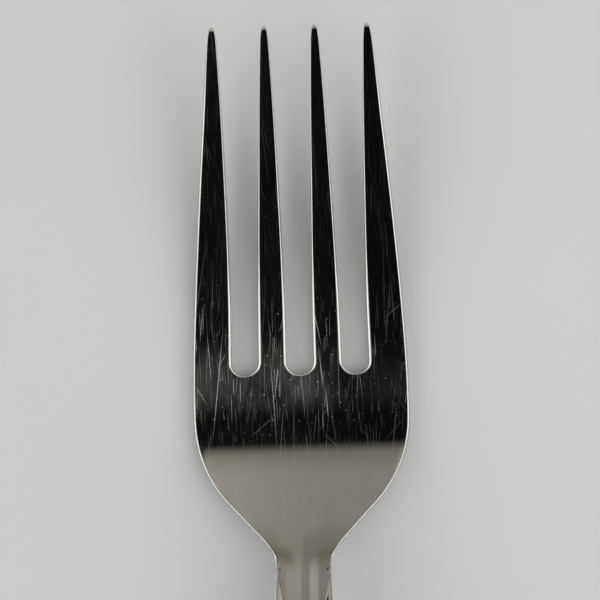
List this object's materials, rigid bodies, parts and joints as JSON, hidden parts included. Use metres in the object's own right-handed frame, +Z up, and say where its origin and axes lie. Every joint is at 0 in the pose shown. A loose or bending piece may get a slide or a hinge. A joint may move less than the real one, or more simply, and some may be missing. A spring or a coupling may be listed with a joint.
{
  "type": "cold meat fork",
  "caption": "Broad serving fork with long tapering tines, a dished palm, sloping shoulders and a narrow neck set into a slender hollow handle.",
  "frame": {"origin": "under the middle of the fork's length, on the table that it lies on face up", "axes": "+X across the fork, +Y towards the tine tips, +Z up"},
  "size_m": [0.0358, 0.2198, 0.0165],
  "materials": {
    "head_steel": "mirror polished stainless steel with fine scratches from use",
    "handle_steel": "polished pressed stainless steel",
    "solder": "polished silver solder",
    "cement": "matt cast cement"
  },
  "bodies": {
    "root": {"fork_head": "head_steel", "handle_front_shell": "handle_steel", "handle_back_shell": "handle_steel", "seam_solder": "solder", "tang_cement": "cement"}
  },
  "joints": []
}
